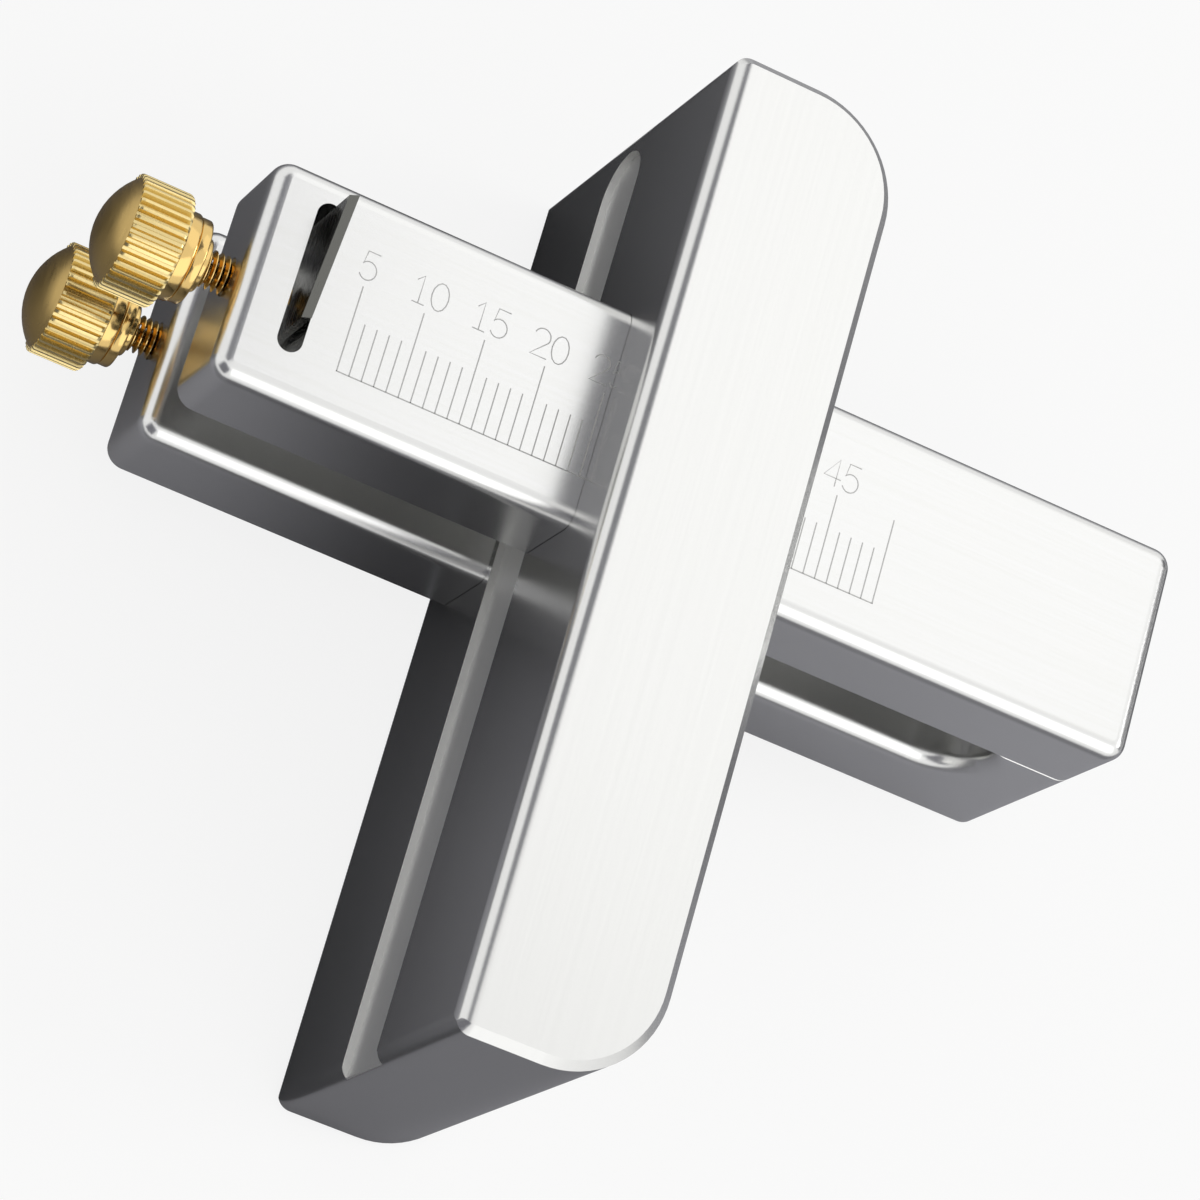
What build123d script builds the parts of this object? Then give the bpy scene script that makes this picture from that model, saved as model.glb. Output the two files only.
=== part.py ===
from build123d import *
import math
import os

# Two-bar marking gauge with knife blades, in millimetres.
# X runs along the bars, from the blades (-X) to the tails (+X).
# Y runs along the fence, and +Z is up, from the fence's lower side face to its upper one.
# The origin is the centre of the fence's lower side face.

# ---- fence ----
fence_thickness = 15.0      # X, from the working face to the back
fence_length = 79.0         # Y
bar_offset_y = 10.5         # the bars' centre line, from the middle of the fence
wall_below = 5.5            # fence metal under the plain bar
wall_above = 7.0            # fence metal over the scale bar
back_corner_radius = 8.0    # the two corners away from the work
front_corner_radius = 1.3   # the two corners on the working side
front_edge_fillet = 1.3     # long edges of the working face
edge_chamfer = 0.7          # every other edge of the fence
groove_width = 7.0          # relief along the working face
groove_depth = 0.6
groove_end_margin = 1.8     # metal left at the groove's closed end

# ---- bars ----
bar_length = 77.5
bar_height = 18.0           # Y
bar_thickness = 8.5         # Z
bar_gap = 8.0               # between the two bars
bar_reach = 29.4            # from the working face to the blade end of the bars
bar_edge_fillet = 1.35      # around the face that looks up
bar_corner_radius = 1.6     # corners of the bar in side view
lug_length = 6.2            # tail lug of the plain bar, at its thinnest
lug_round_past = 0.4        # radius of the hollow round at the lug, beyond half the gap
slide_clearance = 0.05      # bar in its window, all round
lug_clearance = 0.08        # lug under the scale bar
lug_edge_break = 0.12       # upper edges of the lug

# ---- blades ----
slot_width = 2.0
slot_length = 12.2
slot_to_end = 4.9           # slot centre from the end of the bar
slot_offset_y = 0.75        # slot centre from the bar's centre line
blade_thickness = 0.6
blade_width = 9.3
blade_tip_height = 3.9      # tip above the bar's face
blade_heel_height = 1.4     # heel above the bar's face
blade_depth = 7.5           # in the bar, under its face
blade_bevel = 0.6           # height of the ground edge
blade_from_wall = 0.3       # flat side of the blade to the slot wall nearest the fence

# ---- thumb screws, M3 ----
thumb_thread_radius = 1.5
thumb_thread_pitch = 0.5
thumb_thread_depth = 0.28
thumb_exposed_thread = 2.0
thumb_hub_radius = 2.1
thumb_hub_length = 0.6
thumb_washer_radius = 3.3
thumb_washer_thickness = 0.9
thumb_washer_bevel = 0.3
thumb_collar_radius = 3.45
thumb_collar_length = 1.1
knurl_radius = 4.5
knurl_depth = 0.38
knurl_length = 4.1
knurl_teeth = 38
dome_height = 1.8

# ---- lock screws, M4, with a brass pad under each ----
lock_radius = 1.95
lock_screw_length = 8.0
lock_screw_chamfer = 0.3
lock_pad_length = 2.5
lock_counterbore_radius = 2.3
lock_counterbore_depth = 7.0
hex_across_flats = 2.0
hex_depth = 2.2

screw_clearance = 0.05      # round a screw in its hole
touch_gap = 0.02            # between faces that press on each other

# ---- worked out ----
fence_front = -fence_thickness / 2
fence_back = fence_thickness / 2
plain_bottom = wall_below
plain_top = plain_bottom + bar_thickness
scale_bottom = plain_top + bar_gap
scale_top = scale_bottom + bar_thickness
lug_round = bar_gap / 2 + lug_round_past
fence_height = scale_top + wall_above
groove_centre_z = (plain_top + scale_bottom) / 2
blade_end = fence_front - bar_reach
tail_end = blade_end + bar_length
slot_x = blade_end + slot_to_end
slot_y = bar_offset_y + slot_offset_y
bar_top_y = bar_offset_y + bar_height / 2
blade_flat_x = slot_x + slot_width / 2 - blade_from_wall
blade_back_x = blade_flat_x - blade_thickness
scale_screw_z = scale_bottom + bar_thickness / 2
plain_screw_z = plain_bottom + bar_thickness / 2
through = 1.0               # how far a cutter runs past a face


def along_x(outline, x_low, x_high):
    """Extrude an outline drawn in Y and Z from x_low to x_high."""
    face = Plane.YZ.offset(x_low) * outline
    return extrude(face, amount=x_high - x_low, dir=(1, 0, 0))


def round_bar_x(radius, x_low, x_high, y, z):
    return along_x(Pos(y, z) * Circle(radius), x_low, x_high)


def round_bar_y(radius, y_low, y_high, x, z):
    tube = Cylinder(radius, y_high - y_low, rotation=(90, 0, 0))
    return Pos(x, (y_low + y_high) / 2, z) * tube


def side_outline(x_low, x_high, y_low, y_high, radius_low, radius_high):
    """Rectangle in X and Y with one radius on its low X corners and one on the others."""
    with BuildSketch() as sketch:
        with Locations(((x_low + x_high) / 2, (y_low + y_high) / 2)):
            Rectangle(x_high - x_low, y_high - y_low)
        corners = sketch.vertices().group_by(Axis.X)
        fillet(corners[0], radius_low)
        corners = sketch.vertices().sort_by(Axis.X)[-2:]
        fillet(corners, radius_high)
    return sketch.sketch


# ---- fence ----

def bar_window(z_low):
    """Through window of one bar, with the bar's own rounded edges and a running clearance."""
    grown_height = bar_height + 2 * slide_clearance
    grown_thickness = bar_thickness + 2 * slide_clearance
    with BuildSketch() as sketch:
        with Locations((bar_offset_y, z_low + bar_thickness / 2)):
            Rectangle(grown_height, grown_thickness)
        upper = sketch.vertices().group_by(Axis.Y)[-1]
        fillet(upper, bar_edge_fillet)
    return along_x(sketch.sketch, fence_front - through, fence_back + through)


def lock_hole(z):
    """Tapped hole from the fence's near end down to a bar window, counterbored for the key."""
    top = fence_length / 2
    tapped = round_bar_y(lock_radius + screw_clearance, bar_top_y, top, 0, z)
    counterbore = round_bar_y(
        lock_counterbore_radius, top - lock_counterbore_depth, top + through, 0, z
    )
    return tapped + counterbore


def make_fence():
    half_length = fence_length / 2
    outline = side_outline(
        fence_front, fence_back, -half_length, half_length, front_corner_radius, back_corner_radius
    )
    block = extrude(outline, amount=fence_height)
    rims = block.edges().group_by(Axis.Z)
    block = chamfer(rims[0] + rims[-1], edge_chamfer)

    with BuildSketch(Plane.XZ.offset(-half_length - through)) as rounded:
        with Locations((fence_back, fence_height / 2)):
            Rectangle(2 * fence_thickness, fence_height)
        fillet(rounded.vertices().group_by(Axis.X)[0], front_edge_fillet)
    sweep_length = fence_length + 2 * through
    envelope = extrude(rounded.sketch, amount=sweep_length, dir=(0, -1, 0))
    block = block & envelope

    groove_top = half_length - groove_end_margin
    groove_round = groove_width / 2
    straight_length = groove_top - groove_round + half_length + through
    with BuildSketch(Plane.YZ.offset(fence_front - through)) as groove:
        with Locations((groove_top - groove_round - straight_length / 2, groove_centre_z)):
            Rectangle(straight_length, groove_width)
        with Locations((groove_top - groove_round, groove_centre_z)):
            Circle(groove_round)
    groove_cut = extrude(groove.sketch, amount=groove_depth + through, dir=(1, 0, 0))

    block = block - bar_window(scale_bottom) - bar_window(plain_bottom)
    block = block - groove_cut
    return block - lock_hole(scale_screw_z) - lock_hole(plain_screw_z)


# ---- bars ----

def screw_hole(z):
    radius = thumb_thread_radius + screw_clearance
    return round_bar_x(radius, blade_end - through, slot_x, bar_offset_y, z)


def blade_slot(z_low, z_high):
    slot = Pos(slot_x, slot_y, z_low) * SlotOverall(slot_length, slot_width, rotation=90)
    return extrude(slot, amount=z_high - z_low)


def bar_blank(z_low, z_high):
    """Bar with rounded side-view corners and a fillet round its upper face."""
    y_low = bar_offset_y - bar_height / 2
    y_high = bar_offset_y + bar_height / 2
    outline = side_outline(
        blade_end, tail_end, y_low, y_high, bar_corner_radius, bar_corner_radius
    )
    return extrude(Pos(0, 0, z_low) * outline, amount=z_high - z_low)


def make_scale_bar():
    bar = bar_blank(scale_bottom, scale_top)
    bar = fillet(bar.edges().group_by(Axis.Z)[-1], bar_edge_fillet)
    bar = bar - blade_slot(scale_bottom - through, scale_top + through)
    return bar - screw_hole(scale_screw_z)


def make_plain_bar():
    """Lower bar. Its tail lug rises to the scale bar, and the gap ends there in a hollow round."""
    lug_top = scale_bottom - lug_clearance
    side = bar_height / 2
    round_x = tail_end - lug_length - lug_round
    bar = bar_blank(plain_bottom, lug_top)
    with BuildSketch(Plane.XZ.offset(side + through - bar_offset_y)) as gap:
        with Locations(((blade_end - through + round_x) / 2, plain_top + bar_gap / 2)):
            Rectangle(round_x - blade_end + through, bar_gap)
        with Locations((round_x, plain_top + lug_round)):
            Circle(lug_round)
    bar = bar - extrude(gap.sketch, amount=bar_height + 2 * through, dir=(0, 1, 0))

    def on_rim(edge):
        middle = edge @ 0.5
        on_side = abs(abs(middle.Y - bar_offset_y) - side) < touch_gap
        at_floor = abs(middle.Z - plain_top) < touch_gap
        at_blade_end = middle.X < blade_end + bar_corner_radius
        in_gap = plain_top - touch_gap < middle.Z < lug_top - touch_gap
        return (at_floor and at_blade_end) or (on_side and in_gap)

    rim = bar.edges().filter_by(Axis.Z, reverse=True).filter_by(on_rim)
    bar = fillet(rim, bar_edge_fillet)
    bar = chamfer(bar.edges().group_by(Axis.Z)[-1], lug_edge_break)
    bar = bar - blade_slot(plain_bottom - through, plain_top + through)
    return bar - screw_hole(plain_screw_z)


# ---- blades ----

def make_blade(face_z, outward):
    """Knife blade: flat side towards the fence, ground side away from it, skewed edge.

    face_z is the bar face that it stands out of, and outward is +1 for up or -1 for down.
    """
    slot_end_y = slot_y + slot_length / 2
    reach = blade_flat_x - slot_x
    end_round = slot_width / 2
    tip_y = slot_end_y - end_round + math.sqrt(end_round**2 - reach**2) - touch_gap
    heel_y = tip_y - blade_width
    tail_z = face_z - outward * blade_depth
    tip_z = face_z + outward * blade_tip_height
    heel_z = face_z + outward * blade_heel_height
    outline = Polyline(
        (tip_y, tail_z), (heel_y, tail_z), (heel_y, heel_z), (tip_y, tip_z), close=True
    )
    blade = along_x(make_face(outline), blade_back_x, blade_flat_x)
    bevel = Polyline(
        (blade_back_x - through, tip_z - outward * (blade_bevel + through)),
        (blade_back_x, tip_z - outward * blade_bevel),
        (blade_flat_x, tip_z),
        (blade_flat_x, tip_z + outward * through),
        (blade_back_x - through, tip_z + outward * through),
        close=True,
    )
    start = Vector(0, tip_y, 0)
    skew = Vector(0, heel_y - tip_y, heel_z - tip_z)
    cutter_face = Pos(start) * (Plane.XZ * make_face(bevel))
    cutter = extrude(cutter_face, amount=skew.length, dir=skew)
    lead = extrude(cutter_face, amount=through, dir=-skew)
    follow = extrude(Pos(skew) * cutter_face, amount=through, dir=skew)
    return blade - cutter - lead - follow


# ---- thumb screws ----

def turned(points, z):
    """Revolve a profile of (x, radius) points about a bar's screw axis."""
    axis_y = bar_offset_y
    outline = Polyline(*[(x, axis_y + radius, z) for x, radius in points], close=True)
    return revolve(make_face(outline), Axis((0, axis_y, z), (1, 0, 0)))


collar_face = blade_end - thumb_exposed_thread - thumb_hub_length - thumb_washer_thickness
knurl_face = collar_face - thumb_collar_length
dome_face = knurl_face - knurl_length


def knurled_band(z):
    root = knurl_radius - knurl_depth
    points = []
    for tooth in range(knurl_teeth):
        for turn, radius in ((0, knurl_radius), (0.5, root)):
            angle = 2 * math.pi * (tooth + turn) / knurl_teeth
            y = bar_offset_y + radius * math.cos(angle)
            points.append((y, z + radius * math.sin(angle)))
    return along_x(make_face(Polyline(*points, close=True)), dome_face, knurl_face)


def dome(z):
    root = knurl_radius - knurl_depth
    sphere_radius = (root**2 + dome_height**2) / (2 * dome_height)
    centre_x = dome_face - dome_height + sphere_radius
    ball = Pos(centre_x, bar_offset_y, z) * Sphere(sphere_radius)
    keep = round_bar_x(root, dome_face - dome_height - through, dome_face, bar_offset_y, z)
    return ball & keep


def make_thumb_screw(z):
    tip_x = blade_back_x - touch_gap
    thread_root = thumb_thread_radius - thumb_thread_depth
    bevel = thumb_thread_depth
    shank = [
        (collar_face, 0),
        (collar_face, thumb_thread_radius),
    ]
    turns = int(thumb_exposed_thread / thumb_thread_pitch)
    for turn in range(turns):
        ridge = blade_end - (turns - turn) * thumb_thread_pitch
        shank.append((ridge, thumb_thread_radius))
        shank.append((ridge + thumb_thread_pitch / 2, thread_root))
    shank += [
        (blade_end, thumb_thread_radius),
        (tip_x - bevel, thumb_thread_radius),
        (tip_x, thread_root),
        (tip_x, 0),
    ]
    collar = round_bar_x(thumb_collar_radius, knurl_face, collar_face, bar_offset_y, z)
    return turned(shank, z) + collar + knurled_band(z) + dome(z)


def make_thumb_washer(z):
    """Stepped washer against the collar: a wide rim, then a narrow hub towards the bar."""
    bore = thumb_thread_radius + screw_clearance
    rim_end = collar_face + thumb_washer_thickness
    hub_end = rim_end + thumb_hub_length
    profile = [
        (collar_face, bore),
        (collar_face, thumb_washer_radius),
        (rim_end - thumb_washer_bevel, thumb_washer_radius),
        (rim_end, thumb_washer_radius - thumb_washer_bevel),
        (rim_end, thumb_hub_radius),
        (hub_end, thumb_hub_radius),
        (hub_end, bore),
    ]
    return turned(profile, z)


# ---- lock screws ----

def make_lock_pad(z):
    low = bar_top_y + touch_gap
    return round_bar_y(lock_radius, low, low + lock_pad_length, 0, z)


def make_lock_screw(z):
    low = bar_top_y + touch_gap + lock_pad_length
    high = low + lock_screw_length
    body = chamfer(round_bar_y(lock_radius, low, high, 0, z).edges(), lock_screw_chamfer)
    socket_face = Plane((0, high, z), x_dir=(1, 0, 0), z_dir=(0, 1, 0))
    socket = socket_face * RegularPolygon(hex_across_flats / 2, 6, major_radius=False)
    return body - extrude(socket, amount=-hex_depth)


nodes = {
    "fence_body": make_fence(),
    "scale_bar": make_scale_bar(),
    "plain_bar": make_plain_bar(),
    "scale_blade": make_blade(scale_top, 1),
    "plain_blade": make_blade(plain_bottom, -1),
    "scale_thumb_screw": make_thumb_screw(scale_screw_z),
    "plain_thumb_screw": make_thumb_screw(plain_screw_z),
    "scale_thumb_washer": make_thumb_washer(scale_screw_z),
    "plain_thumb_washer": make_thumb_washer(plain_screw_z),
    "scale_lock_pad": make_lock_pad(scale_screw_z),
    "plain_lock_pad": make_lock_pad(plain_screw_z),
    "scale_lock_screw": make_lock_screw(scale_screw_z),
    "plain_lock_screw": make_lock_screw(plain_screw_z),
}

os.makedirs("parts", exist_ok=True)
for name, shape in nodes.items():
    shape.label = name
    export_step(shape, f"parts/{name}.step")
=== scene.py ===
# %% [markdown]
# # Two-bar marking gauge
# A marking gauge scratches a line parallel to the edge of a board. This one has a block of
# aluminium, the fence, that runs along the edge, and two bars that slide through it. Each bar
# carries a small knife blade, held by a brass thumb screw in the end of the bar.
# The fence, bars, blades and lock screws arrive finished from the CAD frame and only need their
# surface finishes here. The brass screws and their washers are remade, with the knurl's teeth and
# the thread's ridge as geometry, and the millimetre scale is added on the upper bar.

# %% Load the fixed frame
import math

import bmesh
import bpy
from mathutils import Matrix, Quaternion, Vector


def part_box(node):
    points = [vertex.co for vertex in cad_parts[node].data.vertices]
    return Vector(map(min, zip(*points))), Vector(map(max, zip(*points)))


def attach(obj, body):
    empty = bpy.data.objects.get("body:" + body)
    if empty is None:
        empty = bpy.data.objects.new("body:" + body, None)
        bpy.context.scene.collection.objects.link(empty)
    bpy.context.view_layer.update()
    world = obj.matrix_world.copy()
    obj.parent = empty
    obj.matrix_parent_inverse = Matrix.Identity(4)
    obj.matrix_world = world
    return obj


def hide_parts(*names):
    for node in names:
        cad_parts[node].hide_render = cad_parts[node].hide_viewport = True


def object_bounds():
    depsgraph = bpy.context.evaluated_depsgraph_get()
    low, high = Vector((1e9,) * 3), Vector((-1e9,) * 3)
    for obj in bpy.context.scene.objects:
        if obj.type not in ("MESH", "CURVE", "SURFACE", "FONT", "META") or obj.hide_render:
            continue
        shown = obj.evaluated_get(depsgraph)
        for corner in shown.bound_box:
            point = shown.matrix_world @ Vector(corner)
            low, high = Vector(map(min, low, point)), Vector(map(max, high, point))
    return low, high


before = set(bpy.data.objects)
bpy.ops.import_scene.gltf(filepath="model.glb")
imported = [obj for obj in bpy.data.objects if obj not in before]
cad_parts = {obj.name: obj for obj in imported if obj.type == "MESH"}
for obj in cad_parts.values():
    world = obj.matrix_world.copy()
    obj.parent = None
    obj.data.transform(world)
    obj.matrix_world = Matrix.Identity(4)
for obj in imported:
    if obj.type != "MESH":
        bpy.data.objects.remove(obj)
cad_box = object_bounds()
MM = 0.001
print("CAD nodes:", ", ".join(sorted(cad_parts)))

# %% [markdown]
# ## Camera
# A long lens from high up on the blade side, a little over a third of a metre away. The view
# is rolled, so that the fence leans across it. The camera could be aimed with a constraint, but
# a direction, a distance and a roll say the same thing with nothing left to evaluate.

# %% Camera
VIEW_AZIMUTH = -39.67        # degrees, 0 looks along +Y
VIEW_ELEVATION = 62.28
VIEW_ROLL = 59.37
VIEW_DISTANCE = 371.8 * MM
VIEW_AIM = Vector((-0.32, 1.07, 20.21)) * MM
LENS = 147.44                # mm, on a 36 mm sensor


def direction(azimuth, elevation):
    """Unit vector from the object towards something at that azimuth and elevation."""
    turn, lift = math.radians(azimuth), math.radians(elevation)
    level = math.cos(lift)
    return Vector((math.sin(turn) * level, -math.cos(turn) * level, math.sin(lift)))


def aimed(azimuth, elevation, roll=0.0):
    """Rotation that looks back at the object from there."""
    level = (-direction(azimuth, elevation)).to_track_quat("-Z", "Y")
    return level @ Quaternion((0, 0, 1), math.radians(roll))


camera_data = bpy.data.cameras.new("camera")
camera_data.sensor_width = 36.0
camera_data.lens = LENS
camera = bpy.data.objects.new("camera", camera_data)
camera.rotation_mode = "QUATERNION"
camera.rotation_quaternion = aimed(VIEW_AZIMUTH, VIEW_ELEVATION, VIEW_ROLL)
camera.location = VIEW_AIM + direction(VIEW_AZIMUTH, VIEW_ELEVATION) * VIEW_DISTANCE
bpy.context.scene.collection.objects.link(camera)
bpy.context.scene.camera = camera
print("camera at", [round(c / MM, 1) for c in camera.location], "mm")

# %% [markdown]
# ## Helpers for materials
# Colours are written as sRGB hex, as a picker shows them. Shaders take linear light, so one
# function converts. Another adds a node, sets its inputs and links it in a single line, which
# keeps each material short enough to read as a recipe.

# %% Material helpers
def srgb(code):
    """An sRGB hex colour as linear red, green, blue and alpha."""
    channels = [int(code[i:i + 2], 16) / 255 for i in (1, 3, 5)]
    linear = [c / 12.92 if c <= 0.04045 else ((c + 0.055) / 1.055) ** 2.4 for c in channels]
    return (*linear, 1.0)


def add(tree, kind, inputs=None, **settings):
    """Add a node. An input is a value, or an output of another node to link from."""
    node = tree.nodes.new(kind)
    for key, value in settings.items():
        setattr(node, key, value)
    for socket, value in (inputs or {}).items():
        if isinstance(value, bpy.types.NodeSocket):
            tree.links.new(value, node.inputs[socket])
        else:
            node.inputs[socket].default_value = value
    return node


def new_material(name):
    """A material with its node tree and its Principled shader."""
    material = bpy.data.materials.new(name)
    material.use_nodes = True
    return material, material.node_tree, material.node_tree.nodes["Principled BSDF"]


def finish(material, *objects):
    """Give each object this material in every slot."""
    for thing in objects:
        thing.data.materials.clear()
        thing.data.materials.append(material)


def link(tree, output, socket):
    tree.links.new(output, socket)


def math_node(tree, operation, *values):
    """The output of one sum on values or on other nodes' outputs."""
    inputs = dict(enumerate(values))
    return add(tree, "ShaderNodeMath", inputs, operation=operation).outputs[0]


# %% [markdown]
# ## Anodised aluminium
# The fence and bars are extruded aluminium, milled, etched in caustic soda and clear anodised.
# The etch leaves a fine satin grain, finer than the render can show, and faint streaks along the
# extrusion. So the metal keeps the default IOR, is fairly bright, and its roughness is about 0.25.
# Two noises do this: one drawn out along the part for the streaks, and one fine for the grain.
# The groove along the fence keeps the cutter's coarser finish, so its roughness is raised there.

# %% Anodised aluminium
GRAIN = 0.16 * MM            # real grain is about 0.03 mm, drawn coarser so that it shows
MILLED_EXTRA = 0.30          # roughness that the groove has on top
STREAK_WIDTH = 0.35 * MM
STREAK_LENGTH = 25 * MM
GROOVE_DEPTHS = 0.05 * MM, 0.7 * MM      # behind the working face
GROOVE_HEIGHTS = 14.4 * MM, 21.6 * MM


def between(tree, value, low, high):
    """1 where a value lies between two others, and 0 elsewhere."""
    return math_node(tree, "COMPARE", value, (low + high) / 2, (high - low) / 2)


def anodised_aluminium(name, along, light, dark, milled=None):
    """Satin anodised aluminium, with streaks along one axis: 0 for X or 1 for Y.

    Inside milled, a box given as low X, high X, low Z and high Z, the surface keeps the coarser
    finish of the cutter.
    """
    material, tree, shader = new_material(name)
    place = add(tree, "ShaderNodeTexCoord").outputs["Object"]
    stretch = [1 / STREAK_WIDTH] * 3
    stretch[along] = 1 / STREAK_LENGTH
    drawn = add(tree, "ShaderNodeMapping", {"Vector": place, "Scale": stretch})
    streaks = add(tree, "ShaderNodeTexNoise", {
        "Vector": drawn.outputs["Vector"], "Scale": 1.0, "Detail": 3.0, "Roughness": 0.55,
    })
    grain = add(tree, "ShaderNodeTexNoise", {
        "Vector": place, "Scale": 1 / GRAIN, "Detail": 2.0, "Roughness": 0.6,
    })
    tint = add(tree, "ShaderNodeValToRGB", {"Fac": streaks.outputs["Fac"]})
    tint.color_ramp.elements[0].position = 0.3
    tint.color_ramp.elements[0].color = srgb(dark)
    tint.color_ramp.elements[1].position = 0.7
    tint.color_ramp.elements[1].color = srgb(light)
    satin = add(tree, "ShaderNodeMapRange", {
        "Value": grain.outputs["Fac"], "From Min": 0.3, "From Max": 0.7,
        "To Min": 0.23, "To Max": 0.26,
    })
    bump = add(tree, "ShaderNodeBump", {
        "Height": grain.outputs["Fac"], "Strength": 0.1, "Distance": 0.002 * MM,
    })
    roughness = satin.outputs["Result"]
    if milled:
        part = add(tree, "ShaderNodeSeparateXYZ", {"Vector": place}).outputs
        in_x = between(tree, part["X"], *milled[:2])
        in_z = between(tree, part["Z"], *milled[2:])
        inside = math_node(tree, "MULTIPLY", in_x, in_z)
        roughness = math_node(tree, "MULTIPLY_ADD", inside, MILLED_EXTRA, roughness)
    shader.inputs["Metallic"].default_value = 1.0
    link(tree, tint.outputs["Color"], shader.inputs["Base Color"])
    link(tree, roughness, shader.inputs["Roughness"])
    link(tree, bump.outputs["Normal"], shader.inputs["Normal"])
    return material


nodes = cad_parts
working_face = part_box("fence_body")[0].x
GROOVE = (*(working_face + depth for depth in GROOVE_DEPTHS), *GROOVE_HEIGHTS)
finish(
    anodised_aluminium("satin_anodised_fence", 1, "#e4e4e2", "#e2e2e0", milled=GROOVE),
    nodes["fence_body"],
)
finish(
    anodised_aluminium("satin_anodised_bars", 0, "#e5e5e4", "#e3e3e1"),
    nodes["scale_bar"], nodes["plain_bar"],
)
print("anodised: fence_body, scale_bar, plain_bar")

# %% [markdown]
# ## Ground blade steel
# The blades are hardened tool steel, ground flat. Grinding leaves parallel scratches across the
# blade, about 0.1 mm apart, and a colder, darker grey than the aluminium. The scratches are a
# noise that is squeezed along Z, used for both the roughness and a slight bump.

# %% Blade steel
GRIND_SPACING = 0.12 * MM
GRIND_LENGTH = 6 * MM


def ground_steel(name):
    material, tree, shader = new_material(name)
    place = add(tree, "ShaderNodeTexCoord").outputs["Object"]
    lines = add(tree, "ShaderNodeMapping", {
        "Vector": place, "Scale": (1 / GRIND_SPACING, 1 / GRIND_LENGTH, 1 / GRIND_SPACING),
    })
    scratches = add(tree, "ShaderNodeTexNoise", {
        "Vector": lines.outputs["Vector"], "Scale": 1.0, "Detail": 2.0,
    })
    satin = add(tree, "ShaderNodeMapRange", {
        "Value": scratches.outputs["Fac"], "To Min": 0.16, "To Max": 0.34,
    })
    bump = add(tree, "ShaderNodeBump", {
        "Height": scratches.outputs["Fac"], "Strength": 0.25, "Distance": 0.01 * MM,
    })
    shader.inputs["Base Color"].default_value = srgb("#6e6e6a")
    shader.inputs["Metallic"].default_value = 1.0
    link(tree, satin.outputs["Result"], shader.inputs["Roughness"])
    link(tree, bump.outputs["Normal"], shader.inputs["Normal"])
    return material


finish(ground_steel("ground_blade_steel"), nodes["scale_blade"], nodes["plain_blade"])
print("ground steel: scale_blade, plain_blade")

# %% [markdown]
# ## Brass
# The thumb screws are turned from brass bar. The dome is left satin with faint turning rings, the
# knurl is bright where the knurling wheel burnished it, and the collar and washer are polished.
# One function makes all three: only the roughness and the depth of the rings differ.

# %% Brass
RING_SPACING = 0.14 * MM     # feed marks of the lathe tool
RING_PATCH = 2 * MM          # how far a mark runs before it changes


def turned_brass(name, colour, smooth, rough, ring_depth):
    """Brass with turning rings about the screw's axis, which are bands across X."""
    material, tree, shader = new_material(name)
    place = add(tree, "ShaderNodeTexCoord").outputs["Object"]
    squeezed = add(tree, "ShaderNodeMapping", {
        "Vector": place, "Scale": (1 / RING_SPACING, 1 / RING_PATCH, 1 / RING_PATCH),
    })
    rings = add(tree, "ShaderNodeTexNoise", {
        "Vector": squeezed.outputs["Vector"], "Scale": 1.0, "Detail": 2.0,
    })
    polish = add(tree, "ShaderNodeMapRange", {
        "Value": rings.outputs["Fac"], "From Min": 0.3, "From Max": 0.7,
        "To Min": smooth, "To Max": rough,
    })
    bump = add(tree, "ShaderNodeBump", {
        "Height": rings.outputs["Fac"], "Strength": 0.3, "Distance": ring_depth,
    })
    shader.inputs["Base Color"].default_value = srgb(colour)
    shader.inputs["Metallic"].default_value = 1.0
    link(tree, polish.outputs["Result"], shader.inputs["Roughness"])
    link(tree, bump.outputs["Normal"], shader.inputs["Normal"])
    return material


SATIN_BRASS = turned_brass("satin_turned_brass", "#c4a76a", 0.27, 0.36, 0.010 * MM)
KNURLED_BRASS = turned_brass("knurled_brass", "#e6d094", 0.22, 0.28, 0.004 * MM)
POLISHED_BRASS = turned_brass("polished_brass", "#e3c17c", 0.12, 0.18, 0.002 * MM)
finish(SATIN_BRASS, nodes["scale_lock_pad"], nodes["plain_lock_pad"])
print("brass:", SATIN_BRASS.name, KNURLED_BRASS.name, POLISHED_BRASS.name)

# %% [markdown]
# ## Black oxide steel
# The two socket screws that lock the bars sit deep in the fence's end. Black oxide is a thin
# conversion layer on steel: a dark, slightly oily metal with a broad highlight, a little patchy.

# %% Black oxide
OXIDE_PATCH = 0.7 * MM


def black_oxide(name):
    material, tree, shader = new_material(name)
    place = add(tree, "ShaderNodeTexCoord").outputs["Object"]
    patches = add(tree, "ShaderNodeTexNoise", {
        "Vector": place, "Scale": 1 / OXIDE_PATCH, "Detail": 4.0,
    })
    sheen = add(tree, "ShaderNodeMapRange", {
        "Value": patches.outputs["Fac"], "To Min": 0.28, "To Max": 0.5,
    })
    tint = add(tree, "ShaderNodeValToRGB", {"Fac": patches.outputs["Fac"]})
    tint.color_ramp.elements[0].color = srgb("#2b2b2d")
    tint.color_ramp.elements[1].color = srgb("#434346")
    shader.inputs["Metallic"].default_value = 1.0
    link(tree, tint.outputs["Color"], shader.inputs["Base Color"])
    link(tree, sheen.outputs["Result"], shader.inputs["Roughness"])
    return material


finish(black_oxide("black_oxide_steel"), nodes["scale_lock_screw"], nodes["plain_lock_screw"])
print("black oxide: scale_lock_screw, plain_lock_screw")

# %% [markdown]
# ## Helpers for turned pieces
# A turned piece is a stack of rings along its axis. A circle is made once, and each next ring is
# its open edge extruded, moved along X and set to a new radius. That keeps every ring's corners
# in line, which a knurl needs, since its teeth are just corners that stand out from the ring.

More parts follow.
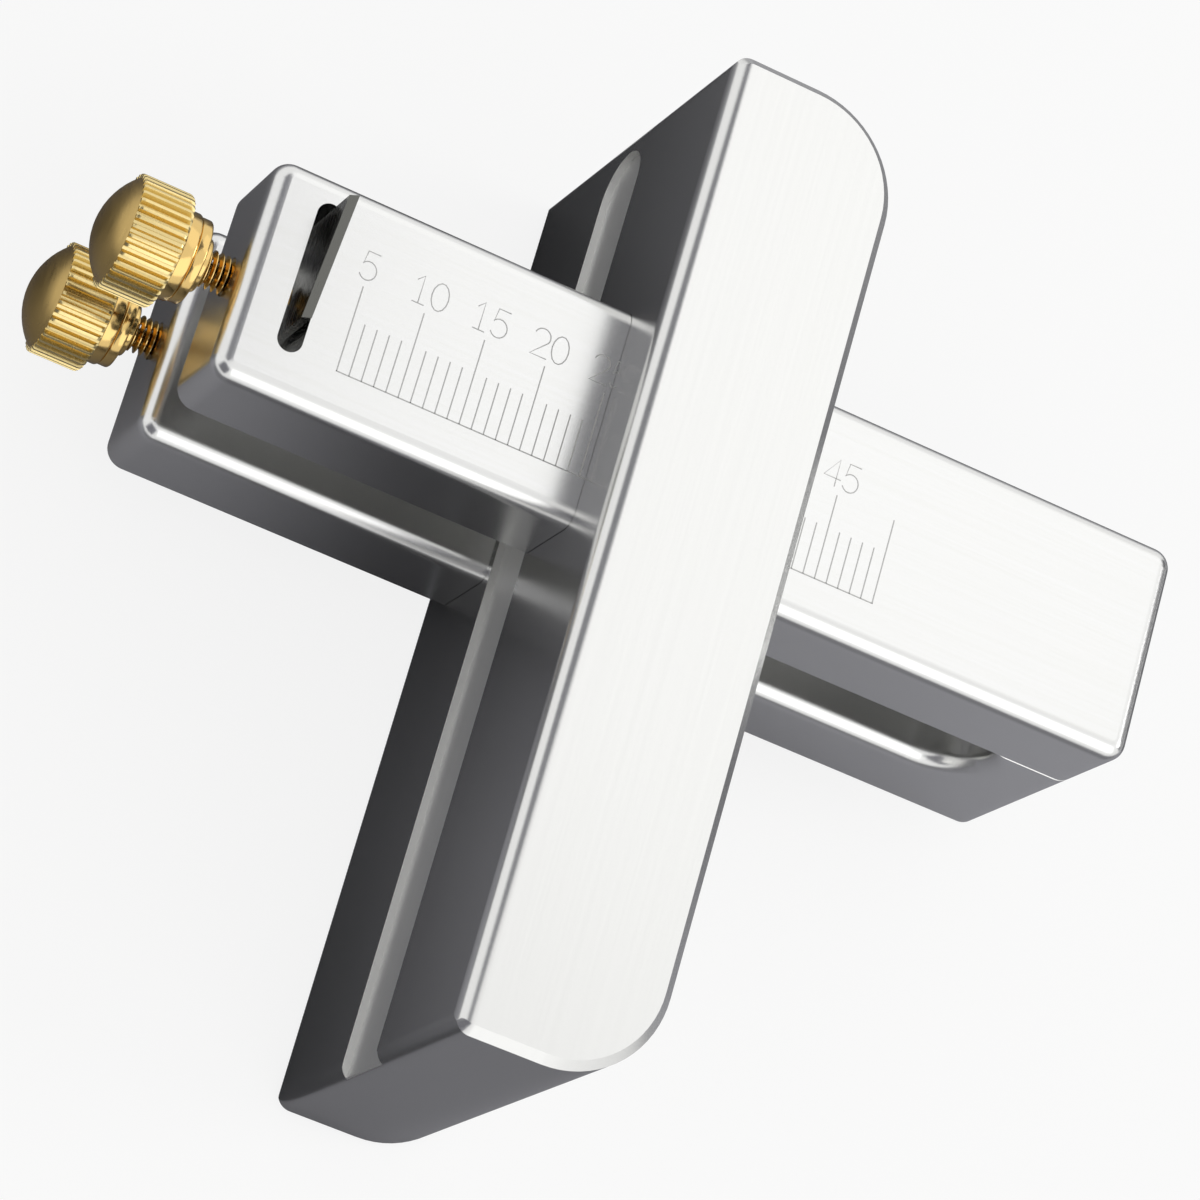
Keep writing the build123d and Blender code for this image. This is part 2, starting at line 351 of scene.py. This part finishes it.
# %% Turning helpers
def new_piece(name, bm, materials, sharp=35):
    """Turn a bmesh into an object with smooth faces and crisp edges."""
    mesh = bpy.data.meshes.new(name)
    bm.to_mesh(mesh)
    bm.free()
    for material in materials:
        mesh.materials.append(material)
    mesh.shade_smooth()
    mesh.set_sharp_from_angle(angle=math.radians(sharp))
    thing = bpy.data.objects.new(name, mesh)
    bpy.context.scene.collection.objects.link(thing)
    return thing


def place_ring(ring, x, radius, tooth=0.0, teeth=1):
    """Set a ring's place and radius. tooth is how far its teeth stand out."""
    for vert in ring:
        angle = math.atan2(vert.co.z, vert.co.y)
        crest = min(1.0, max(0.0, 0.5 + 0.95 * math.cos(teeth * angle)))
        reach = radius + tooth * crest
        vert.co = Vector((x, reach * math.cos(angle), reach * math.sin(angle)))


def close_end(bm, ring, x):
    """Draw a last ring together on the axis."""
    bmesh.ops.pointmerge(bm, verts=ring, merge_co=Vector((x, 0, 0)))


def next_ring(bm, ring):
    """Extrude a ring's own edges and return the new ring."""
    members = set(ring)
    edges = [e for e in bm.edges if e.verts[0] in members and e.verts[1] in members]
    made = bmesh.ops.extrude_edge_only(bm, edges=edges)["geom"]
    return [item for item in made if isinstance(item, bmesh.types.BMVert)]


def turn(bm, profile, corners, teeth=1, swatch=None):
    """Turn a closed shape about X from a profile of (x, radius, tooth height) rings.

    swatch gives the material slot for a face by the ring number it starts at.
    """
    first, last = profile[0], profile[-1]
    ring = bmesh.ops.create_circle(bm, segments=corners, radius=first[1] or 0.05 * MM)["verts"]
    bmesh.ops.rotate(bm, verts=ring, cent=(0, 0, 0), matrix=Matrix.Rotation(math.pi / 2, 3, "Y"))
    start = list(ring)
    for number, (x, radius, tooth) in enumerate(profile):
        if number:
            before = set(bm.faces)
            ring = next_ring(bm, ring)
            for face in set(bm.faces) - before:
                face.material_index = swatch[number] if swatch else 0
        place_ring(ring, x, max(radius, 0.02 * MM), tooth, teeth)
    close_end(bm, ring, last[0])
    close_end(bm, start, first[0])
    bmesh.ops.recalc_face_normals(bm, faces=bm.faces)


# %% [markdown]
# ## Thumb screws
# Each head is a low dome over a straight knurl, then a plain collar. The knurl's teeth run out
# at both ends, because the blank is chamfered before it is knurled. The thread is a real helix:
# one V-shaped outline spun round the axis while it moves a pitch along for every turn.

# %% Thumb screws
TEETH = 38
CORNERS_PER_TOOTH = 6
TOOTH = 0.38 * MM
DOME_HEIGHT = 1.8 * MM
KNURL_LENGTH = 4.1 * MM
RUN_OUT = 0.35 * MM          # length over which the teeth rise to full height
COLLAR_RADIUS = 3.45 * MM
COLLAR_LENGTH = 1.1 * MM
EDGE_ROUND = 0.18 * MM
THREAD_PITCH = 0.5 * MM
THREAD_DEPTH = 0.28 * MM
THREAD_RADIUS = 1.5 * MM
DOME_RINGS = 9
CORE_CORNERS = 32
RIDGE_HALF_WIDTH = 0.42 * THREAD_PITCH
STEPS_PER_TURN = 24


def head_profile(apex, knurl_radius):
    """Rings of the head from the dome's top to the collar, and the finish of each."""
    root = knurl_radius - TOOTH
    sphere = (root**2 + DOME_HEIGHT**2) / (2 * DOME_HEIGHT)
    rings, finishes = [], []
    for step in range(DOME_RINGS + 1):
        share = step / DOME_RINGS
        lean = math.asin(root / sphere) * share
        rings.append((apex + sphere * (1 - math.cos(lean)), sphere * math.sin(lean), 0.0))
        finishes.append(0)
    knurl_start = apex + DOME_HEIGHT
    knurl_end = knurl_start + KNURL_LENGTH
    for inset, height in ((0.0, 0.8), (0.4, 1.0), (1.0, 1.0)):
        rings.append((knurl_start + inset * RUN_OUT, root, height * TOOTH))
        finishes.append(1)
    for inset, height in ((1.0, 1.0), (0.4, 0.85), (0.0, 0.45)):
        rings.append((knurl_end - inset * RUN_OUT, root, height * TOOTH))
        finishes.append(1)
    collar_end = knurl_end + COLLAR_LENGTH
    rings += [
        (knurl_end, root - EDGE_ROUND, 0.0),
        (knurl_end, COLLAR_RADIUS + EDGE_ROUND, 0.0),
        (knurl_end + EDGE_ROUND, COLLAR_RADIUS, 0.0),
        (collar_end - EDGE_ROUND, COLLAR_RADIUS, 0.0),
        (collar_end - EDGE_ROUND / 3, COLLAR_RADIUS - EDGE_ROUND / 3, 0.0),
        (collar_end, COLLAR_RADIUS - EDGE_ROUND, 0.0),
        (collar_end, THREAD_RADIUS - THREAD_DEPTH, 0.0),
    ]
    finishes += [1, 2, 2, 2, 2, 2, 2]
    return rings, finishes, collar_end


def add_thread(bm, start, end, slot):
    """One V ridge wound from start to end."""
    root = THREAD_RADIUS - THREAD_DEPTH
    before = set(bm.faces)
    # Known fault: turn draws its first and last ring together, so with two rings this core
    # keeps no wall, and the ridge stands without one.
    turn(bm, [(start, root, 0), (end, root, 0)], CORE_CORNERS)
    turns = (end - start) / THREAD_PITCH - 1
    half = RIDGE_HALF_WIDTH
    buried = root - THREAD_DEPTH / 2
    points = [(start, buried), (start + half * 0.85, THREAD_RADIUS),
              (start + half * 1.15, THREAD_RADIUS), (start + 2 * half, buried)]
    verts = [bm.verts.new((x, radius, 0)) for x, radius in points]
    section = bm.faces.new(verts)
    spun = bmesh.ops.spin(
        bm, geom=[section, *section.edges, *section.verts], cent=(0, 0, 0), axis=(1, 0, 0),
        dvec=(THREAD_PITCH / STEPS_PER_TURN, 0, 0), angle=turns * 2 * math.pi,
        steps=int(turns * STEPS_PER_TURN),
    )
    print("thread turns", round(turns, 1), "end faces", len(spun["geom_last"]))
    for face in set(bm.faces) - before:
        face.material_index = slot


def make_thumb_screw(side):
    node = f"{side}_thumb_screw"
    low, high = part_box(node)
    knurl_radius = (high.y - low.y) / 2
    rings, finishes, collar_end = head_profile(low.x, knurl_radius)
    bm = bmesh.new()
    turn(bm, rings, TEETH * CORNERS_PER_TOOTH, TEETH, finishes)
    add_thread(bm, collar_end - EDGE_ROUND, high.x, 2)
    bmesh.ops.recalc_face_normals(bm, faces=bm.faces)
    middle = (low + high) / 2
    bmesh.ops.translate(bm, verts=bm.verts, vec=(0, middle.y, middle.z))
    finishes_in_order = [SATIN_BRASS, KNURLED_BRASS, POLISHED_BRASS]
    screw = new_piece(f"{side}_thumb_screw_turned", bm, finishes_in_order)
    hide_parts(node)
    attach(screw, node)
    return screw


thumb_screws = [make_thumb_screw(side) for side in ("scale", "plain")]
print("thumb screws:", [len(screw.data.polygons) for screw in thumb_screws], "faces")

# %% [markdown]
# ## Washers
# A stepped brass washer sits against each collar: a wide polished rim, then a narrow hub towards
# the bar. A closed outline of half the section is spun a full turn about the screw's axis, after
# a bevel has rounded the outline's corners.

# %% Washers
RIM_LENGTH = 0.9 * MM
HUB_RADIUS = 2.1 * MM
WASHER_BORE = 1.55 * MM
WASHER_STEPS = 72


def make_washer(side):
    node = f"{side}_thumb_washer"
    low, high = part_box(node)
    rim_radius = (high.y - low.y) / 2
    rim_end = low.x + RIM_LENGTH
    bm = bmesh.new()
    outline = [
        (low.x, WASHER_BORE), (low.x, rim_radius), (rim_end, rim_radius),
        (rim_end, HUB_RADIUS), (high.x, HUB_RADIUS), (high.x, WASHER_BORE),
    ]
    section = bm.faces.new([bm.verts.new((x, radius, 0)) for x, radius in outline])
    bmesh.ops.bevel(
        bm, geom=section.verts[:], offset=EDGE_ROUND, affect="VERTICES", segments=3,
        profile=0.5, material=-1,
    )
    edges = bm.edges[:]
    bmesh.ops.delete(bm, geom=bm.faces[:], context="FACES_ONLY")
    bmesh.ops.spin(
        bm, geom=edges, cent=(0, 0, 0), axis=(1, 0, 0), angle=2 * math.pi,
        steps=WASHER_STEPS, use_merge=True,
    )
    bmesh.ops.remove_doubles(bm, verts=bm.verts, dist=0.001 * MM)
    bmesh.ops.recalc_face_normals(bm, faces=bm.faces)
    middle = (low + high) / 2
    bmesh.ops.translate(bm, verts=bm.verts, vec=(0, middle.y, middle.z))
    washer = new_piece(f"{side}_thumb_washer_turned", bm, [POLISHED_BRASS])
    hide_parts(node)
    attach(washer, f"{side}_washer")
    return washer


washers = [make_washer(side) for side in ("scale", "plain")]
print("washers:", [len(washer.data.polygons) for washer in washers], "faces")

# %% [markdown]
# ## The millimetre scale
# The scale is marked by laser: thin matt grey lines on the satin metal. Each stroke is a flat bar
# 0.02 mm proud of the face, so that it catches no light of its own but still shows. Short strokes
# are 1 mm apart, every fifth is long and numbered, and a line runs along their feet.

# %% Scale strokes
SCALE_ZERO = 3.9 * MM        # from the bar's blade end
SCALE_FOOT = 3.8 * MM        # from the bar's lower side
SHORT_STROKE = 4.27 * MM
LONG_STROKE = 7.0 * MM
STROKE_WIDTH = 0.10 * MM
STROKE_HEIGHT = 0.02 * MM
FIRST_MARK, LAST_MARK, LONG_EVERY = 5, 50, 5

bar_low, bar_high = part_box("scale_bar")
face_z = bar_high.z
zero_x = bar_low.x + SCALE_ZERO
foot_y = bar_low.y + SCALE_FOOT


def add_stroke(bm, x_low, x_high, y_low, y_high):
    """A flat bar lying on the scale face."""
    made = bmesh.ops.create_cube(bm, size=1.0)["verts"]
    size = (x_high - x_low, y_high - y_low, STROKE_HEIGHT)
    middle = ((x_low + x_high) / 2, (y_low + y_high) / 2, face_z)
    bmesh.ops.scale(bm, verts=made, vec=size)
    bmesh.ops.translate(bm, verts=made, vec=middle)


marks = bmesh.new()
half_width = STROKE_WIDTH / 2
for mark in range(FIRST_MARK, LAST_MARK + 1):
    stroke_x = zero_x + mark * MM
    stroke_length = SHORT_STROKE if mark % LONG_EVERY else LONG_STROKE
    add_stroke(marks, stroke_x - half_width, stroke_x + half_width, foot_y, foot_y + stroke_length)
first_x, last_x = zero_x + FIRST_MARK * MM, zero_x + LAST_MARK * MM
add_stroke(
    marks, first_x - half_width, last_x + half_width, foot_y - half_width, foot_y + half_width
)
print("scale strokes:", LAST_MARK - FIRST_MARK + 1)

# %% [markdown]
# ## Numbers
# The numbers are single-stroke figures, as an engraving machine or a laser draws them. Each figure
# is a few straight lines and arcs on a grid one unit high. A curve with a round bevel gives them
# their stroke, and the mesh made from it is pressed flat on the bar.

# %% Numbers
FIGURE_HEIGHT = 2.25 * MM
FIGURE_ADVANCE = 0.70        # from one figure to the next, in figure heights
FIGURE_WIDTH = 0.62          # of one figure, in figure heights
FIGURE_GAP = 0.55 * MM       # between a long stroke and its number
ARC_STEPS = 14


def arc(centre_x, centre_y, radius_x, radius_y, start, end):
    """Points of an arc, with its angles in degrees."""
    angles = [math.radians(start + (end - start) * i / ARC_STEPS) for i in range(ARC_STEPS + 1)]
    return [(centre_x + radius_x * math.cos(a), centre_y + radius_y * math.sin(a)) for a in angles]


FIGURES = {
    "0": [arc(0.32, 0.5, 0.30, 0.5, 0, 360)],
    "1": [[(0.12, 0.78), (0.34, 1.0), (0.34, 0.0)], [(0.12, 0.0), (0.56, 0.0)]],
    "2": [arc(0.31, 0.71, 0.29, 0.29, 165, -30) + [(0.02, 0.0), (0.64, 0.0)]],
    "3": [arc(0.30, 0.76, 0.25, 0.24, 155, -90) + arc(0.30, 0.27, 0.29, 0.27, 90, -155)],
    "4": [[(0.47, 0.0), (0.47, 1.0), (0.0, 0.3), (0.64, 0.3)]],
    "5": [[(0.58, 1.0), (0.14, 1.0), (0.08, 0.53)] + arc(0.30, 0.33, 0.30, 0.33, 140, -150)],
}


def write_number(text, centre_x, base_y):
    """A number as a flat mesh on the scale face, centred on a stroke."""
    curve = bpy.data.curves.new("number", "CURVE")
    curve.dimensions = "3D"
    curve.bevel_depth = STROKE_WIDTH / 2
    curve.bevel_resolution = 1
    width = (len(text) - 1) * FIGURE_ADVANCE + FIGURE_WIDTH
    left = centre_x - width * FIGURE_HEIGHT / 2
    for place, figure in enumerate(text):
        for points in FIGURES[figure]:
            spline = curve.splines.new("POLY")
            spline.points.add(len(points) - 1)
            for point, (across, up) in zip(spline.points, points):
                x = left + (place * FIGURE_ADVANCE + across) * FIGURE_HEIGHT
                point.co = (x, base_y + up * FIGURE_HEIGHT, 0, 1)
    drawn = bpy.data.objects.new("number", curve)
    mesh = bpy.data.meshes.new_from_object(drawn)
    bpy.data.objects.remove(drawn)
    flat = Matrix.Diagonal((1, 1, STROKE_HEIGHT / STROKE_WIDTH, 1))
    mesh.transform(Matrix.Translation((0, 0, face_z)) @ flat)
    return mesh


for mark in range(FIRST_MARK, LAST_MARK, LONG_EVERY):
    base = foot_y + LONG_STROKE + FIGURE_GAP
    number = write_number(str(mark), zero_x + mark * MM, base)
    marks.from_mesh(number)
    bpy.data.meshes.remove(number)

MARK_PATCH = 0.25 * MM


def laser_mark(name):
    """Matt grey oxide that a laser leaves on anodised aluminium, slightly uneven."""
    material, tree, shader = new_material(name)
    place = add(tree, "ShaderNodeTexCoord").outputs["Object"]
    uneven = add(tree, "ShaderNodeTexNoise", {"Vector": place, "Scale": 1 / MARK_PATCH})
    tint = add(tree, "ShaderNodeValToRGB", {"Fac": uneven.outputs["Fac"]})
    tint.color_ramp.elements[0].color = srgb("#b2b2b0")
    tint.color_ramp.elements[1].color = srgb("#c9c9c7")
    shader.inputs["Roughness"].default_value = 0.6
    shader.inputs["Metallic"].default_value = 0.85
    link(tree, tint.outputs["Color"], shader.inputs["Base Color"])
    return material


scale_marks = new_piece("scale_marks", marks, [laser_mark("laser_marked_aluminium")])
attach(scale_marks, "scale_bar")
print("numbers:", list(range(FIRST_MARK, LAST_MARK, LONG_EVERY)))

# %% [markdown]
# ## Floor
# A sheet of matt white card. It is large enough for the low views to end in the card and not at
# an edge, and it lies a hair under the fence, so that the two faces don't fight.

# %% Floor
FLOOR_SIZE = 6.0
FLOOR_DROP = 0.03 * MM
CARD_GRAIN = 0.6 * MM
WHITE_SHARE = 0.84           # the rest is the card's own lit colour, which keeps the shadow


def seen_or_mirrored(tree):
    """1 where the camera looks, directly or by way of metal or glass, and 0 for stray light."""
    ray = add(tree, "ShaderNodeLightPath").outputs
    seen = math_node(tree, "MAXIMUM", ray["Is Camera Ray"], ray["Is Glossy Ray"])
    seen = math_node(tree, "MAXIMUM", seen, ray["Is Transmission Ray"])
    direct = math_node(tree, "LESS_THAN", ray["Diffuse Depth"], 0.5)
    return math_node(tree, "MULTIPLY", seen, direct)


def matt_card(name):
    material, tree, shader = new_material(name)
    place = add(tree, "ShaderNodeTexCoord").outputs["Object"]
    fibre = add(tree, "ShaderNodeTexNoise", {
        "Vector": place, "Scale": 1 / CARD_GRAIN, "Detail": 3.0,
    })
    bump = add(tree, "ShaderNodeBump", {
        "Height": fibre.outputs["Fac"], "Strength": 0.05, "Distance": 0.02 * MM,
    })
    shader.inputs["Base Color"].default_value = srgb("#f4f4f3")
    shader.inputs["Roughness"].default_value = 0.9
    shader.inputs["Specular IOR Level"].default_value = 0.1
    link(tree, bump.outputs["Normal"], shader.inputs["Normal"])
    white = add(tree, "ShaderNodeEmission", {"Strength": 1.0})
    share = math_node(tree, "MULTIPLY", seen_or_mirrored(tree), WHITE_SHARE)
    both = add(tree, "ShaderNodeMixShader", {0: share, 1: shader.outputs[0], 2: white.outputs[0]})
    link(tree, both.outputs[0], tree.nodes["Material Output"].inputs["Surface"])
    return material


card = bmesh.new()
bmesh.ops.create_grid(card, x_segments=1, y_segments=1, size=FLOOR_SIZE / 2)
bmesh.ops.translate(card, verts=card.verts, vec=(0, 0, cad_box[0].z - FLOOR_DROP))
floor = new_piece("floor", card, [matt_card("matt_white_card")])
print("floor at", round((cad_box[0].z - FLOOR_DROP) / MM, 3), "mm")

# %% [markdown]
# ## Grey cards, painted reflections
# Bright metal on white paper loses its shape, because its sides mirror the paper. Grey sheets
# give the sides something darker to mirror, as painted reflections: one card lies under the gauge,
# and three flags hang round it. Mirrored rays meet them and nothing else does, so they never show,
# but they do hide the white floor and world from the metal. The card's grey along Y is painted
# shade, darkest where the bars and screws stand, and close to the fence's working face the card
# carries a painted contact shadow.

# %% Grey cards
CARD_LIFT = 0.02 * MM
CARD_HALF = 0.25
CARD_SPAN = 200 * MM
# Painted contact shadow: in this span before the working face the card is mixed towards black.
CONTACT_FAR, CONTACT_NEAR = 23 * MM, 2 * MM
PAINTED_CONTACT_SHADE = 0.68
# Painted shade: the card's grey along Y, darkest where the bars and screws stand.
MIRRORED_SHADE_GREYS = (
    (-42 * MM, "#848489"), (-14 * MM, "#aaaab0"), (2 * MM, "#a6a6ac"),
    (18 * MM, "#707074"), (60 * MM, "#7b7b7f"), (130 * MM, "#c4c4c8"),
)


def mirrored_only(card):
    for kind in ("camera", "diffuse", "transmission", "volume_scatter", "shadow"):
        setattr(card, f"visible_{kind}", False)


def matt_sheet(name):
    """A material with no gloss at all."""
    material, tree, shader = new_material(name)
    shader.inputs["Roughness"].default_value = 1.0
    shader.inputs["Specular IOR Level"].default_value = 0.0
    return material, tree, shader


def grey_card(name, shade_greys, contact):
    """Painted shade for mirrors: grey along Y, and a painted shadow at the fence's working face.
    """
    material, tree, shader = matt_sheet(name)
    place = add(tree, "ShaderNodeTexCoord").outputs["Object"]
    part = add(tree, "ShaderNodeSeparateXYZ", {"Vector": place}).outputs
    along = add(tree, "ShaderNodeMapRange", {
        "Value": part["Y"], "From Min": -CARD_SPAN, "From Max": CARD_SPAN,
    })
    grey = add(tree, "ShaderNodeValToRGB", {"Fac": along.outputs["Result"]})
    stops = grey.color_ramp.elements
    while len(stops) < len(shade_greys):
        stops.new(0.5)
    for stop, (y, colour) in zip(stops, shade_greys):
        stop.position = (y + CARD_SPAN) / (2 * CARD_SPAN)
        stop.color = srgb(colour)
    # Painted contact shadow: mixed towards black in front of the working face.
    near = add(tree, "ShaderNodeMapRange", {
        "Value": part["X"], "From Min": working_face - CONTACT_FAR,
        "From Max": working_face - CONTACT_NEAR, "To Min": 0.0, "To Max": contact,
    }, interpolation_type="SMOOTHSTEP")
    before = math_node(tree, "LESS_THAN", part["X"], working_face)
    depth = math_node(tree, "MULTIPLY", near.outputs["Result"], before)
    tint = add(tree, "ShaderNodeMix", {
        "Factor": depth, "A": grey.outputs["Color"], "B": srgb("#000000"),
    }, data_type="RGBA")
    link(tree, tint.outputs["Result"], shader.inputs["Base Color"])
    return material


sheet = bmesh.new()
bmesh.ops.create_grid(sheet, x_segments=1, y_segments=1, size=CARD_HALF)
bmesh.ops.translate(sheet, verts=sheet.verts, vec=(0, 0, cad_box[0].z - FLOOR_DROP + CARD_LIFT))
mirrored_only(new_piece("grey_card", sheet, [grey_card("grey_card", MIRRORED_SHADE_GREYS, PAINTED_CONTACT_SHADE)]))


def flag(name, colour, azimuth, elevation, distance, width, height):
    """A matt sheet that faces the object from there, a painted reflection that only mirrors see.
    """
    material, _, shader = matt_sheet(name)
    shader.inputs["Base Color"].default_value = srgb(colour)
    felt = bmesh.new()
    bmesh.ops.create_grid(felt, x_segments=1, y_segments=1, size=0.5)
    bmesh.ops.scale(felt, verts=felt.verts, vec=(width, height, 1))
    hung = Matrix.Translation(VIEW_AIM + direction(azimuth, elevation) * distance)
    bmesh.ops.transform(
        felt, matrix=hung @ aimed(azimuth, elevation).to_matrix().to_4x4(), verts=felt.verts
    )
    mirrored_only(new_piece(name, felt, [material]))


# Painted reflections: grey sheets only mirrors see, so the metal's sides facing them come out
# darker.
flag("blade_side_painted_reflection", "#8c8c94", -138, 61, 0.30, 0.20, 0.15)
flag("camera_side_painted_reflection", "#7c7c84", -40, 36, 0.45, 0.42, 0.42)
flag("tail_side_painted_reflection", "#5c5c62", 108, 12, 0.50, 0.50, 0.28)
print("met by mirrored rays only: grey_card and three flags")

# %% [markdown]
# ## Light
# Satin metal shows what is around it more than what shines on it. A softbox high on the far side
# is what the pale upper faces mirror. A lower softbox and a small, strong lamp further off light
# the edges and the floor. All three stand away from the blades, so the faces towards the viewer
# mirror the grey sheets. The world is white wherever it is seen or mirrored, and a dimmer grey
# for matt surfaces, so that shadows keep their depth.

# %% Lamps and world
def softbox(name, azimuth, elevation, distance, size, radiance):
    """A square area lamp aimed at the object. Its power follows from its radiance."""
    data = bpy.data.lights.new(name, "AREA")
    data.shape = "SQUARE"
    data.size = size
    data.energy = radiance * math.pi * size**2
    lamp = bpy.data.objects.new(name, data)
    lamp.rotation_mode = "QUATERNION"
    lamp.rotation_quaternion = aimed(azimuth, elevation)
    lamp.location = VIEW_AIM + direction(azimuth, elevation) * distance
    bpy.context.scene.collection.objects.link(lamp)
    return lamp


softbox("overhead_softbox", 152, 50, 0.45, 0.34, 0.25)
softbox("front_softbox", 32, 40, 0.6, 0.5, 0.6)
softbox("side_lamp", 100, 25, 1.6, 0.6, 5.0)

world = bpy.data.worlds.new("studio")
world.use_nodes = True
bpy.context.scene.world = world
sky = world.node_tree
sky.nodes.clear()
fill = add(sky, "ShaderNodeBackground", {"Color": srgb("#ffffff"), "Strength": 0.6})
white = add(sky, "ShaderNodeBackground", {"Color": srgb("#ffffff"), "Strength": 1.0})
mixed = add(sky, "ShaderNodeMixShader", {
    0: seen_or_mirrored(sky), 1: fill.outputs[0], 2: white.outputs[0],
})
add(sky, "ShaderNodeOutputWorld", {"Surface": mixed.outputs[0]})
bpy.context.scene.view_settings.view_transform = "Standard"

# %% [markdown]
# ## Finish
# The box of the CAD model is printed last.

# %% Sizes and finish
print("CAD box mm", [round(c / MM, 2) for corner in cad_box for c in corner])
